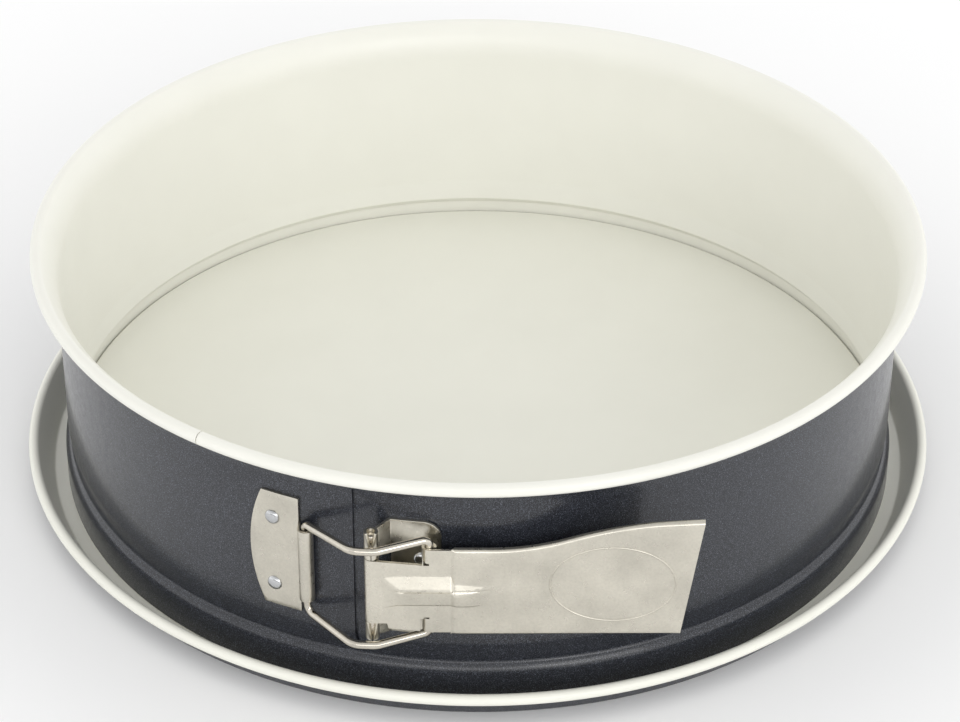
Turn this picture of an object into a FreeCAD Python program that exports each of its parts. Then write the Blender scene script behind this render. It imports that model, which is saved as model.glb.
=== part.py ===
import FreeCAD, Part
import math
import os
import re
import Sketcher

# Springform pan, millimetres. +Z is up and the origin is at the centre of the base's underside.
# The front of the pan, where the two ends of the ring meet under the latch, faces -Y.
# Round the pan a place is given by its bearing: 0 at the front, positive towards +X.
# The ring is one sprung steel band. It is built as three solids, so that it can open:
# a short back piece, and a left and a right arm that each turn a little about its ends.

SIZES = (
    ("sheet", 0.6, "sheet thickness of the ring"),
    ("wall_inner", 130.0, "inner radius of the ring's wall"),
    ("rim_top", 81.0, "height of the rim above the table"),
    ("rim_curl", 2.0, "outer radius of the rolled rim"),
    ("rim_centre", 136.1, "radius of the circle on which the rolled rim lies"),
    ("rim_slope", 45.0, "slope of the flare where it runs into the rolled rim"),
    ("groove_top", 20.3, "height where the wall starts to lean inwards"),
    ("groove_depth", 0.9, "how far the wall leans inwards"),
    ("crease", 13.5, "height of the inward crease above the base"),
    ("bulge_outer", 131.85, "outer radius of the ring's foot"),
    ("bulge_top", 11.35, "height of the top of the ring's foot"),
    ("ring_bottom", 1.1, "height of the ring's lower edge"),
    ("back_sweep", 10.0, "angle of the ring's back piece"),
    ("lap_bearing", 19.6, "angle by which the right end's rim laps over the left end"),
    ("lap_gap", 0.15, "angle left free at the end of the rim's lap"),
    ("seam_bearing", 0.15, "bearing of the right end of the wall"),
    ("seam_gap", 0.1, "angle between the two ends at the ring's foot"),
    ("slot_gap", 0.45, "angle between the two ends of the wall, in front of the tongue"),
    ("slot_low", 20.0, "lower end of that wider gap"),
    ("lap_top", 75.6, "top of the left end's wall under the lapping rim"),
    ("strip_low", 2.0, "angle on the flare of the lower edge of the lapping rim's strip"),
    ("strip_step", 25.0, "angle on the flare where that strip steps inwards"),
    ("strip_joggle", 6.0, "angle on the flare that the step takes"),
    ("strip_skew", 1.0, "how much later the step starts on the inner face"),
    ("tongue_sweep", 5.0, "angle of the tongue behind the left end"),
    ("tongue_root", 1.0, "angle by which the tongue overlaps its own wall"),
    ("tongue_step", 0.75, "how far the tongue is stepped inwards"),
    ("tongue_low", 20.0, "lower edge of the tongue"),
    ("tongue_high", 69.0, "upper edge of the tongue"),
    ("plate_sheet", 0.8, "sheet thickness of the base"),
    ("plateau_top", 7.5, "height of the base's raised middle"),
    ("plateau_outer", 130.9, "radius of the base's raised middle"),
    ("plateau_edge", 1.2, "rounding of the raised middle's edge"),
    ("plateau_foot", 0.5, "rounding where the raised middle meets the channel"),
    ("lip_centre", 141.9, "radius of the circle on which the base's rolled lip lies"),
    ("lip_height", 9.3, "height of that circle"),
    ("lip_curl", 1.7, "outer radius of the base's rolled lip"),
    ("lip_slope", 65.0, "slope of the lip's wall"),
    ("strap", 0.8, "sheet thickness of the latch parts"),
    ("seat_gap", 0.02, "gap between the ring's wall and what is riveted to it"),
    ("keeper_low", 25.2, "lower edge of the keeper plate"),
    ("keeper_high", 65.0, "upper edge of the keeper plate"),
    ("keeper_right", 7.3, "bearing of the keeper plate's right edge, towards the left"),
    ("keeper_width", 11.8, "width of the keeper plate at its corners"),
    ("keeper_crown", 4.2, "how far its rounded edge stands out"),
    ("knuckle_low", 31.8, "lower end of the keeper's knuckle"),
    ("knuckle_high", 56.5, "upper end of the keeper's knuckle"),
    ("knuckle_reach", 3.0, "length of the strip from the keeper plate to its knuckle"),
    ("bar_radius", 133.0, "distance of the bail's bar from the pan's axis"),
    ("bar_bearing", 6.15, "bearing of the bail's bar, towards the left"),
    ("wire", 1.2, "radius of the bail's wire"),
    ("running_fit", 0.07, "radial clearance of wire and pin in their knuckles"),
    ("pin", 1.2, "radius of the hinge pin"),
    ("hinge_low", 26.4, "lower end of the hinge"),
    ("hinge_high", 63.6, "upper end of the hinge"),
    ("barrel_low", 32.6, "lower end of the lever's barrel"),
    ("barrel_high", 54.6, "upper end of the lever's barrel"),
    ("end_play", 0.2, "gap between the lever's barrel and the bracket's knuckles"),
    ("bracket_low", 24.4, "lower edge of the hinge bracket"),
    ("bracket_high", 64.0, "upper edge of the hinge bracket"),
    ("bracket_left", 4.2, "bearing of the bracket's left edge"),
    ("bracket_width", 15.2, "width of the hinge bracket"),
    ("bracket_corner", 4.5, "radius of the bracket's rounded corners"),
    ("ear_root", 0.5, "how far beyond the bracket's left edge its ears start"),
    ("pin_foot", 0.6, "how far the pin stops above the hinge's lower end"),
    ("pin_recess", 1.2, "how far the pin stops below the hinge's upper end"),
    ("rivet_head", 2.3, "radius of a rivet's domed head"),
    ("rivet_rise", 1.1, "height of a rivet's domed head"),
    ("rivet_shank", 1.25, "radius of a rivet's shank"),
    ("rivet_tail", 1.9, "radius of the flat tail inside the pan"),
    ("tail_rise", 0.45, "height of the flat tail"),
    ("rivet_fit", 0.03, "radial clearance of a rivet in its holes"),
    ("keeper_rivet", 11.0, "bearing of the keeper's rivets, towards the left"),
    ("bracket_rivet", 8.4, "bearing of the bracket's rivets"),
    ("barrel_outer", 2.13, "outer radius of the lever's barrel"),
    ("lever_face", 2.1, "distance of the lever's front face from the pin's axis"),
    ("lever_depth", 1.8, "depth of the lever's folded edges"),
    ("paddle_step", 0.6, "how far the lever's wide part stands out from its flat part"),
    ("lever_low", 29.5, "lower edge of the lever"),
    ("tab_high", 58.4, "upper edge of the lever next to the bail"),
    ("neck_left", 4.6, "left end of the lower edge of the flat part, from the pin"),
    ("neck_drop", 1.4, "how far the upper edge of the flat part falls towards the sleeves"),
    ("neck_rise", 1.3, "height of the left end of the flat part's lower edge above lever_low"),
    ("edge_rise", 0.5, "height of that edge's right end, and of the free end's corner, above lever_low"),
    ("fold_start", 23.0, "where the lever's folded edges start, from the pin"),
    ("fold_lap", 1.6, "how far the flat part runs on behind the wide part"),
    ("curve_left", 33.0, "where the upper edge starts to rise, from the pin"),
    ("curve_low", 67.3, "radius of the upper edge's hollow curve"),
    ("curve_middle", 55.0, "where the hollow curve ends and the full curve starts, from the pin"),
    ("curve_height", 62.1, "height of the upper edge there"),
    ("curve_high", 116.7, "radius of the upper edge's full curve"),
    ("curve_right", 85.0, "where the full curve ends, from the pin"),
    ("curve_drop", 0.54, "height of the upper edge there below paddle_high"),
    ("paddle_high", 68.8, "upper edge of the lever at its free end"),
    ("paddle_end", 92.7, "upper corner of the free end, from the pin"),
    ("paddle_foot", 86.9, "lower corner of the free end, from the pin"),
    ("sleeve_place", 16.1, "axis of the sleeves for the bail's tips, from the pin"),
    ("sleeve_high", 53.8, "lower end of the upper sleeve"),
    ("sleeve_low", 34.2, "upper end of the lower sleeve"),
    ("sleeve_slit", 0.5, "gap between each sleeve and the flat part"),
    ("notch_left", 13.6, "left side of the notch round the lower sleeve, from the pin"),
    ("rib_left", 3.0, "left end of the lever's pressed rib, from the pin"),
    ("rib_start", 3.0, "how much further right the rib's lower edge starts"),
    ("rib_right", 33.0, "right end of the rib"),
    ("rib_taper", 10.0, "length over which the rib's upper edge falls at its right end"),
    ("rib_fall", 2.4, "how far it falls there"),
    ("rib_low", 39.0, "lower edge of the rib"),
    ("rib_high", 49.4, "upper edge of the rib"),
    ("rib_rise", 1.5, "height of the rib"),
)

LEVER_ANGLE = 15.2                       # the closed lever's direction, from +X towards +Y
PIN_PLACE = (6.74, -137.33)              # the hinge pin's axis
KEEPER_RIVET_HEIGHTS = {"keeper_rivet_upper": 56.3, "keeper_rivet_lower": 32.8}
BRACKET_RIVET_HEIGHTS = {"bracket_rivet_upper": 51.0, "bracket_rivet_lower": 36.0}
BAIL_HIGH = (58.2, 59.2, 60.9)           # height of the bail's upper arm at the bar, the hinge and its end
BAIL_LOW = (27.5, 26.1, 28.1)            # height of its lower arm at the same places
BAIL_HINGE = ((-5.6, 3.4), (1.2, 3.8))   # where the arms bend round the hinge: along the lever, and out
BAIL_BEND = 1.8                          # radius of the wire's corners at the bar
BAIL_CURVE = 6.0                         # radius of its gentler bends round the hinge
CUT_REACH = 4.0                          # how far the ends of cutting and blank shapes lie from the wall

doc = FreeCAD.newDocument("springform_pan")
sheet = doc.addObject("Spreadsheet::Sheet", "Sizes")
for line, (name, number, note) in enumerate(SIZES, start=1):
    sheet.set("A%d" % line, name)
    sheet.set("B%d" % line, str(number))
    sheet.set("C%d" % line, note)
    sheet.setAlias("B%d" % line, name)
doc.recompute()
size = {name: number for name, number, note in SIZES}
parts = []


# ---------- helpers ----------

def bound(text):
    """Turn a formula of bare size names into an expression on the sheet."""
    return re.sub(r"[a-z_]+", lambda word: "Sizes." * (word.group() in size) + word.group(), text)


def origin_plane(body, role):
    """Return one of the body's own origin planes."""
    return [item for item in body.Origin.OriginFeatures if item.Role == role][0]


def middle_of_arc(start, end, radius, side, large):
    """Return the middle of the arc from start to end. side is +1 where it bulges to the left."""
    chord = end - start
    half = chord.Length / 2
    left = FreeCAD.Vector(-chord.y, chord.x, 0).normalize()
    drop = math.sqrt(max(radius * radius - half * half, 0.0))
    height = radius + drop if large else radius - drop
    return (start + end) / 2 + left * (side * height)


def draw_outline(sketch, corners):
    """Draw a closed outline. A corner is (x, y) or (x, y, radius, side) or (x, y, radius, side, "large"),
    where the last three describe the arc from that corner to the next one. Every corner and radius is
    held by a constraint that is bound to the sheet."""
    places = [FreeCAD.Vector(float(sketch.evalExpression(bound(corner[0]))),
                             float(sketch.evalExpression(bound(corner[1]))), 0) for corner in corners]
    first = sketch.GeometryCount
    count = len(corners)
    for index, corner in enumerate(corners):
        start, end = places[index], places[(index + 1) % count]
        if len(corner) > 2:
            radius = float(sketch.evalExpression(bound(corner[2])))
            middle = middle_of_arc(start, end, radius, corner[3], len(corner) > 4)
            sketch.addGeometry(Part.Arc(start, middle, end), False)
        else:
            sketch.addGeometry(Part.LineSegment(start, end), False)
    for index, corner in enumerate(corners):
        here, after = first + index, first + (index + 1) % count
        here_end, after_start = 2, 1
        if len(corner) > 2 and corner[3] > 0:
            here_end = 1
        if len(corners[(index + 1) % count]) > 2 and corners[(index + 1) % count][3] > 0:
            after_start = 2
        sketch.addConstraint(Sketcher.Constraint("Coincident", here, here_end, after, after_start))
    for index, corner in enumerate(corners):
        here = first + index
        start_end = 2 if len(corner) > 2 and corner[3] > 0 else 1
        for axis, text, value in (("X", corner[0], places[index].x), ("Y", corner[1], places[index].y)):
            if abs(value) < 1e-9:
                line = -2 if axis == "X" else -1
                sketch.addConstraint(Sketcher.Constraint("PointOnObject", here, start_end, line))
                continue
            number = sketch.addConstraint(
                Sketcher.Constraint("Distance" + axis, -1, 1, here, start_end, value))
            sketch.setExpression("Constraints[%d]" % number, bound(text))
        if len(corner) > 2:
            radius = float(sketch.evalExpression(bound(corner[2])))
            number = sketch.addConstraint(Sketcher.Constraint("Radius", here, radius))
            sketch.setExpression("Constraints[%d]" % number, bound(corner[2]))


def draw_circle(sketch, across, up, radius):
    """Draw a circle whose centre and radius are bound to the sheet."""
    x, y, r = (float(sketch.evalExpression(bound(text))) for text in (across, up, radius))
    here = sketch.addGeometry(Part.Circle(FreeCAD.Vector(x, y, 0), FreeCAD.Vector(0, 0, 1), r), False)
    for axis, text, value in (("X", across, x), ("Y", up, y)):
        if abs(value) < 1e-9:
            line = -2 if axis == "X" else -1
            sketch.addConstraint(Sketcher.Constraint("PointOnObject", here, 3, line))
            continue
        number = sketch.addConstraint(Sketcher.Constraint("Distance" + axis, -1, 1, here, 3, value))
        sketch.setExpression("Constraints[%d]" % number, bound(text))
    number = sketch.addConstraint(Sketcher.Constraint("Radius", here, r))
    sketch.setExpression("Constraints[%d]" % number, bound(radius))


def new_sketch(body, name, role, lift=None):
    """Add a sketch on one of the body's origin planes, lifted off it by a formula."""
    sketch = body.newObject("Sketcher::SketchObject", name)
    sketch.AttachmentSupport = (origin_plane(body, role), [""])
    sketch.MapMode = "FlatFace"
    if lift:
        sketch.setExpression("AttachmentOffset.Base.z", bound(lift))
    return sketch


def revolve(body, name, sketch, sweep, reverse=False, both_ways=False):
    """Turn a sketch about the body's Z axis."""
    turn = body.newObject("PartDesign::Revolution", name)
    turn.Profile = sketch
    turn.ReferenceAxis = (sketch, ["V_Axis"])
    turn.Reversed = reverse
    turn.Midplane = both_ways
    turn.setExpression("Angle", bound(sweep))
    return turn


def pad(body, name, sketch, length, reverse=False):
    """Give a sketch a thickness."""
    block = body.newObject("PartDesign::Pad", name)
    block.Profile = sketch
    block.Reversed = reverse
    block.setExpression("Length", bound(length))
    return block


def pocket(body, name, sketch, length, reverse=False, both_ways=False):
    """Cut a sketch out of the body, and make sure that it did cut."""
    doc.recompute()
    before = body.Shape.Volume
    cut = body.newObject("PartDesign::Pocket", name)
    cut.Profile = sketch
    cut.Reversed = reverse
    cut.Midplane = both_ways
    cut.setExpression("Length", bound(length))
    doc.recompute()
    if body.Shape.Volume > before - 1e-6:
        raise RuntimeError(name + " cuts nothing")
    return cut


def cylinder(name, radius, low, high, across, back):
    """Make an upright cylinder whose size is bound to the sheet."""
    item = doc.addObject("Part::Cylinder", name)
    item.setExpression("Radius", bound(radius))
    item.setExpression("Height", bound("( %s ) - ( %s )" % (high, low)))
    item.setExpression("Placement.Base.z", bound(low))
    item.setExpression("Placement.Base.x", bound(across))
    item.setExpression("Placement.Base.y", bound(back))
    return item


def fuse(name, shapes):
    """Join shapes into one."""
    item = doc.addObject("Part::MultiFuse", name)
    item.Shapes = shapes
    item.Refine = True
    return item


def cut(name, base, tool):
    """Take tool away from base."""
    item = doc.addObject("Part::Cut", name)
    item.Base = base
    item.Tool = tool
    return item


def finish(item, label):
    """Label a finished sub-part and put it on the list to export."""
    item.Label = label
    parts.append(item)
    return item


def at_bearing(bearing, radius=0.0, height=0.0):
    """Return a placement that turns +X outwards at a bearing and moves out and up."""
    turn = FreeCAD.Rotation(FreeCAD.Vector(0, 0, 1), bearing - 90)
    return FreeCAD.Placement(turn.multVec(FreeCAD.Vector(radius, 0, height)), turn)


# ---------- base plate ----------

def slope_point(centre, height, radius, slope, along="0", inset="0"):
    """Return the point where a line of a given slope touches a circle from the inside and above,
    moved down the line by along and towards the centre by inset."""
    reach = "( %s - %s )" % (radius, inset)
    across = "%s - %s * sin( %s * 1deg ) - %s * cos( %s * 1deg )" % (centre, reach, slope, along, slope)
    up = "%s + %s * cos( %s * 1deg ) - %s * sin( %s * 1deg )" % (height, reach, slope, along, slope)
    return across, up


def make_base_plate():
    """A pressed plate: raised middle, channel round it, and a sloping lip with a rolled edge."""
    body = doc.addObject("PartDesign::Body", "BasePlate")
    profile = new_sketch(body, "BasePlateProfile", "XZ_Plane")
    lip = ("lip_centre", "lip_height", "lip_curl", "lip_slope")
    touch_x, touch_z = slope_point(*lip)
    half_chord = "sqrt( lip_curl ^ 2 - ( lip_curl - plate_sheet ) ^ 2 )"
    under_x, under_z = slope_point(*lip, along=half_chord, inset="plate_sheet")
    draw_outline(profile, (
        ("0", "plateau_top"),
        ("plateau_outer - plateau_edge", "plateau_top", "plateau_edge", 1),
        ("plateau_outer", "plateau_top - plateau_edge"),
        ("plateau_outer", "plate_sheet + plateau_foot", "plateau_foot", -1),
        ("plateau_outer + plateau_foot", "plate_sheet"),
        ("%s - ( %s - plate_sheet ) / tan( lip_slope * 1deg )" % (touch_x, touch_z), "plate_sheet"),
        (touch_x, touch_z, "lip_curl", 1, "large"),
        (under_x, under_z),
        ("%s - ( %s ) / tan( lip_slope * 1deg )" % (under_x, under_z), "0"),
        ("plateau_outer + plateau_foot", "0", "plateau_foot + plate_sheet", 1),
        ("plateau_outer - plate_sheet", "plateau_foot + plate_sheet"),
        ("plateau_outer - plate_sheet", "plateau_top - plateau_edge", "plateau_edge - plate_sheet", -1),
        ("plateau_outer - plateau_edge", "plateau_top - plate_sheet"),
        ("0", "plateau_top - plate_sheet"),
    ))
    draw_circle(profile, "lip_centre", "lip_height", "lip_curl - plate_sheet")
    revolve(body, "BasePlateTurn", profile, "360")
    finish(body, "base_plate")


# ---------- ring ----------

def ring_low_corners():
    """The outline of the ring's lower half, from the wall's inner face down, round its foot and up."""
    return (
        ("wall_inner", "groove_top"),
        ("wall_inner - groove_depth", "crease - sheet * 0.4"),
        ("bulge_outer - sheet", "bulge_top - sheet * 0.4"),
        ("bulge_outer - sheet", "ring_bottom"),
        ("bulge_outer", "ring_bottom"),
        ("bulge_outer", "bulge_top"),
        ("wall_inner + sheet - groove_depth", "crease"),
        ("wall_inner + sheet", "groove_top"),
    )


def flare():
    """Return the formulas of the flare: its radius, the height where it starts, and its two upper ends."""
    rim = ("rim_centre", "( rim_top - rim_curl )", "rim_curl", "rim_slope")
    inner_x, inner_z = slope_point(*rim)
    radius = "( %s - wall_inner ) / ( 1 - sin( rim_slope * 1deg ) )" % inner_x
    start = "%s - ( %s ) * cos( rim_slope * 1deg )" % (inner_z, radius)
    half_chord = "sqrt( rim_curl ^ 2 - ( rim_curl - sheet ) ^ 2 )"
    outer = slope_point(*rim, along=half_chord, inset="sheet")
    return radius, start, (inner_x, inner_z), outer


def draw_ring_profile(sketch):
    """The whole section of the ring: foot, crease, wall, flare and rolled rim."""
    radius, start, inner, outer = flare()
    corners = ring_low_corners() + (
        ("wall_inner + sheet", start, "%s - sheet" % radius, 1),
        (outer[0], outer[1], "rim_curl", -1, "large"),
        (inner[0], inner[1], radius, -1),
        ("wall_inner", start),
    )
    draw_outline(sketch, corners)
    draw_circle(sketch, "rim_centre", "rim_top - rim_curl", "rim_curl - sheet")


def draw_lap_profile(sketch):
    """The section of the left end under the lapping rim: no rolled rim, and the flare cut short."""
    radius, start, inner, outer = flare()
    lean_in = "sqrt( ( %s ) ^ 2 - ( lap_top - ( %s ) ) ^ 2 )" % (radius, start)
    lean_out = "sqrt( ( %s - sheet ) ^ 2 - ( lap_top - ( %s ) ) ^ 2 )" % (radius, start)
    draw_outline(sketch, ring_low_corners() + (
        ("wall_inner + sheet", start, "%s - sheet" % radius, 1),
        ("wall_inner + %s - %s" % (radius, lean_out), "lap_top"),
        ("wall_inner + %s - %s" % (radius, lean_in), "lap_top", radius, -1),
        ("wall_inner", start),
    ))


def draw_rim_tongue(sketch):
    """The section of the right end's rim where it laps over the left end: the rolled rim, and a strip
    of the flare that steps in behind the left end's flare."""
    radius, start, inner, outer = flare()

    def on_flare(reach, angle):
        """Return the point at an angle on an arc about the flare's centre."""
        return ("wall_inner + %s - ( %s ) * cos( ( %s ) * 1deg )" % (radius, reach, angle),
                "%s + ( %s ) * sin( ( %s ) * 1deg )" % (start, reach, angle))

    hidden_face = "%s + tongue_step" % radius
    near_face = "%s + tongue_step - sheet" % radius
    draw_outline(sketch, (
        on_flare(near_face, "strip_low") + (near_face, 1),
        on_flare(near_face, "strip_step"),
        on_flare("%s - sheet" % radius, "strip_step + strip_joggle") + ("%s - sheet" % radius, 1),
        (outer[0], outer[1], "rim_curl", -1, "large"),
        (inner[0], inner[1], radius, -1),
        on_flare(radius, "strip_step + strip_joggle + strip_skew"),
        on_flare(hidden_face, "strip_step + strip_skew") + (hidden_face, -1),
        on_flare(hidden_face, "strip_low"),
    ))
    draw_circle(sketch, "rim_centre", "rim_top - rim_curl", "rim_curl - sheet")


def make_ring_back():
    """The short back piece that carries both arms."""
    body = doc.addObject("PartDesign::Body", "RingBack")
    profile = new_sketch(body, "RingBackProfile", "XZ_Plane")
    draw_ring_profile(profile)
    revolve(body, "RingBackTurn", profile, "back_sweep", both_ways=True)
    body.Placement = at_bearing(180)
    finish(body, "ring_back")


def rivet_holes(name, bearing, heights):
    """Radial holes through the wall and the plate on it, as one cutting shape."""
    holes = []
    for number, height in enumerate(heights):
        hole = doc.addObject("Part::Cylinder", "%s%d" % (name, number))
        hole.setExpression("Radius", bound("rivet_shank + rivet_fit"))
        hole.Height = 2 * CUT_REACH
        outwards = at_bearing(bearing, size["wall_inner"] - CUT_REACH, height)
        lay_down = FreeCAD.Placement(FreeCAD.Vector(), FreeCAD.Rotation(FreeCAD.Vector(0, 1, 0), 90))
        hole.Placement = outwards.multiply(lay_down)
        holes.append(hole)
    return fuse(name, holes)


def make_ring_left(holes):
    """The left arm. Its front end lies outside, and under the other end's rolled rim. In front of the
    other end's tongue its wall is cut back a little further."""
    body = doc.addObject("PartDesign::Body", "RingLeftBand")
    full = new_sketch(body, "RingLeftProfile", "XZ_Plane")
    draw_ring_profile(full)
    revolve(body, "RingLeftTurn", full, "180 - back_sweep / 2 - lap_bearing - lap_gap", reverse=True)
    lap = new_sketch(body, "RingLeftLap", "XZ_Plane")
    draw_lap_profile(lap)
    revolve(body, "RingLeftLapTurn", lap, "lap_bearing + lap_gap + seam_bearing - seam_gap")
    body.Placement = at_bearing(-size["lap_bearing"] - size["lap_gap"])

    slot = doc.addObject("PartDesign::Body", "SeamSlot")
    window = new_sketch(slot, "SeamSlotProfile", "XZ_Plane")
    draw_outline(window, (
        ("wall_inner - tongue_step", "slot_low"),
        ("rim_centre", "slot_low"),
        ("rim_centre", "lap_top + sheet"),
        ("wall_inner - tongue_step", "lap_top + sheet"),
    ))
    revolve(slot, "SeamSlotTurn", window, "slot_gap", reverse=True)
    slot.Placement = at_bearing(size["seam_bearing"])
    band = cut("RingLeftSlotted", body, slot)
    finish(cut("RingLeft", band, holes), "ring_left")


def make_ring_right(holes):
    """The right arm, with a tongue stepped in behind the left end and a rim that laps over it."""
    body = doc.addObject("PartDesign::Body", "RingRightBand")
    full = new_sketch(body, "RingRightProfile", "XZ_Plane")
    draw_ring_profile(full)
    revolve(body, "RingRightTurn", full, "180 - back_sweep / 2 - seam_bearing")
    rim = new_sketch(body, "RingRightRim", "XZ_Plane")
    draw_rim_tongue(rim)
    revolve(body, "RingRightRimTurn", rim, "lap_bearing + seam_bearing", reverse=True)
    body.Placement = at_bearing(size["seam_bearing"])

    tongue = doc.addObject("PartDesign::Body", "RingRightTongue")
    strip = new_sketch(tongue, "RingRightTongueProfile", "XZ_Plane")
    draw_outline(strip, (
        ("wall_inner - tongue_step", "tongue_low"),
        ("wall_inner - tongue_step + sheet", "tongue_low"),
        ("wall_inner - tongue_step + sheet", "tongue_high"),
        ("wall_inner - tongue_step", "tongue_high"),
    ))
    revolve(tongue, "RingRightTongueTurn", strip, "tongue_sweep + tongue_root", reverse=True)
    tongue.Placement = at_bearing(size["seam_bearing"] + size["tongue_root"])

    step = doc.addObject("PartDesign::Body", "RingRightStep")
    joggle = new_sketch(step, "RingRightStepProfile", "XZ_Plane")
    draw_outline(joggle, (
        ("wall_inner - tongue_step", "tongue_low"),
        ("wall_inner + sheet", "tongue_low"),
        ("wall_inner + sheet", "tongue_high"),
        ("wall_inner - tongue_step", "tongue_high"),
    ))
    revolve(step, "RingRightStepTurn", joggle, "tongue_root / 2", reverse=True)
    step.Placement = at_bearing(size["seam_bearing"] + size["tongue_root"])
    band = fuse("RingRightJoined", [body, tongue, step])
    finish(cut("RingRight", band, holes), "ring_right")


# ---------- plates riveted to the ring ----------

def wall_shell(name):
    """A thin cylinder that lies on the outside of the ring's wall."""
    outer = cylinder(name + "Outer", "wall_inner + sheet + seat_gap + strap", "0", "rim_top", "0", "0")
    inner = cylinder(name + "Inner", "wall_inner + sheet + seat_gap", "0", "rim_top", "0", "0")
    return cut(name, outer, inner)


def plate_blank(name, corners, bearing):
    """A flat outline seen from outside, thick enough to reach through the wall at a bearing."""
    body = doc.addObject("PartDesign::Body", name)
    outline = new_sketch(body, name + "Outline", "YZ_Plane", "wall_inner")
    draw_outline(outline, corners)
    pad(body, name + "Pad", outline, "sheet + strap + %s" % CUT_REACH)
    body.Placement = at_bearing(bearing)
    return body


def make_keeper_plate(holes):
    """The plate on the left end whose curled edge holds the bail's bar."""
    crown = "( ( ( keeper_high - keeper_low ) / 2 ) ^ 2 + keeper_crown ^ 2 ) / ( 2 * keeper_crown )"
    blank = plate_blank("KeeperBlank", (
        ("0", "keeper_low"),
        ("0", "knuckle_low"),
        ("knuckle_reach", "knuckle_low"),
        ("knuckle_reach", "knuckle_high"),
        ("0", "knuckle_high"),
        ("0", "keeper_high"),
        ("0 - keeper_width", "keeper_high", crown, -1),
        ("0 - keeper_width", "keeper_low"),
    ), -size["keeper_right"])
    plate = doc.addObject("Part::MultiCommon", "KeeperFlat")
    plate.Shapes = [blank, wall_shell("KeeperShell")]
    place = ("0 - bar_radius * sin( bar_bearing * 1deg )", "0 - bar_radius * cos( bar_bearing * 1deg )")
    knuckle = cylinder("KeeperKnuckle", "wire + running_fit + strap", "knuckle_low", "knuckle_high", *place)
    bore = cylinder("KeeperBore", "wire + running_fit", "keeper_low", "keeper_high", *place)
    solid = cut("KeeperCurl", fuse("KeeperJoined", [plate, knuckle]), bore)
    finish(cut("Keeper", solid, holes), "keeper_plate")


def make_hinge_bracket(holes):
    """The plate on the right end, with two ears that run out to the knuckles of the lever's hinge."""
    blank = plate_blank("BracketBlank", (
        ("0", "bracket_low"),
        ("bracket_width - bracket_corner", "bracket_low", "bracket_corner", -1),
        ("bracket_width", "bracket_low + bracket_corner"),
        ("bracket_width", "bracket_high - bracket_corner", "bracket_corner", -1),
        ("bracket_width - bracket_corner", "bracket_high"),
        ("0", "bracket_high"),
    ), size["bracket_left"])
    plate = doc.addObject("Part::MultiCommon", "BracketFlat")
    plate.Shapes = [blank, wall_shell("BracketShell")]
    pin_x, pin_y = PIN_PLACE
    middle = size["wall_inner"] + size["sheet"] + size["strap"] / 2
    root = at_bearing(size["bracket_left"] + size["ear_root"], middle)
    reach = FreeCAD.Vector(root.Base.x - pin_x, root.Base.y - pin_y, 0)
    pieces = [plate]
    spans = (("Upper", "barrel_high + end_play", "hinge_high", "bracket_high"),
             ("Lower", "hinge_low", "barrel_low - end_play", "barrel_low - end_play"))
    for name, low, high, ear_high in spans:
        pieces.append(cylinder("Knuckle" + name, "pin + strap", low, high, str(pin_x), str(pin_y)))
        ear = doc.addObject("Part::Box", "Ear" + name)
        ear.Length = reach.Length
        ear.setExpression("Width", bound("strap"))
        ear.setExpression("Height", bound("( %s ) - ( %s )" % (ear_high, low)))
        turn = FreeCAD.Rotation(FreeCAD.Vector(1, 0, 0), reach)
        shift = turn.multVec(FreeCAD.Vector(0, -size["strap"] / 2, 0))
        ear.Placement = FreeCAD.Placement(FreeCAD.Vector(pin_x, pin_y, 0) + shift, turn)
        ear.setExpression("Placement.Base.z", bound(low))
        pieces.append(ear)
    bore = cylinder("BracketBore", "pin", "bracket_low", "rim_top", str(pin_x), str(pin_y))
    solid = cut("BracketEars", fuse("BracketJoined", pieces), bore)
    finish(cut("Bracket", solid, holes), "hinge_bracket")


def make_rivet(label, bearing, height):
    """A rivet with a domed head outside and a flat tail inside the pan."""
    body = doc.addObject("PartDesign::Body", "Rivet" + label.title().replace("_", ""))
    profile = new_sketch(body, body.Name + "Profile", "XZ_Plane")
    dome = "( rivet_head ^ 2 + rivet_rise ^ 2 ) / ( 2 * rivet_rise )"
    draw_outline(profile, (
        ("0", "0 - sheet - tail_rise"),
        ("rivet_tail", "0 - sheet - tail_rise"),
        ("rivet_tail", "0 - sheet - seat_gap"),
        ("rivet_shank", "0 - sheet - seat_gap"),
        ("rivet_shank", "strap + 2 * seat_gap"),
        ("rivet_head", "strap + 2 * seat_gap", dome, -1),
        ("0", "strap + 2 * seat_gap + rivet_rise"),
    ))
    revolve(body, body.Name + "Turn", profile, "360")
    outwards = at_bearing(bearing, size["wall_inner"] + size["sheet"], height)
    lay_down = FreeCAD.Placement(FreeCAD.Vector(), FreeCAD.Rotation(FreeCAD.Vector(0, 1, 0), 90))
    body.Placement = outwards.multiply(lay_down)
    finish(body, label)


# ---------- latch ----------

def on_latch(along, out, height=0.0):
    """Return the point that lies along the closed lever from the pin, and out from the pan."""
    angle = math.radians(LEVER_ANGLE)
    return FreeCAD.Vector(PIN_PLACE[0] + along * math.cos(angle) + out * math.sin(angle),
                          PIN_PLACE[1] + along * math.sin(angle) - out * math.cos(angle), height)


def make_hinge_pin():
    """The pin, a little shorter than the knuckles."""
    place = (str(PIN_PLACE[0]), str(PIN_PLACE[1]))
    pin = cylinder("HingePin", "pin", "hinge_low + pin_foot", "hinge_high - pin_recess", *place)
    finish(pin, "hinge_pin")


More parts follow.
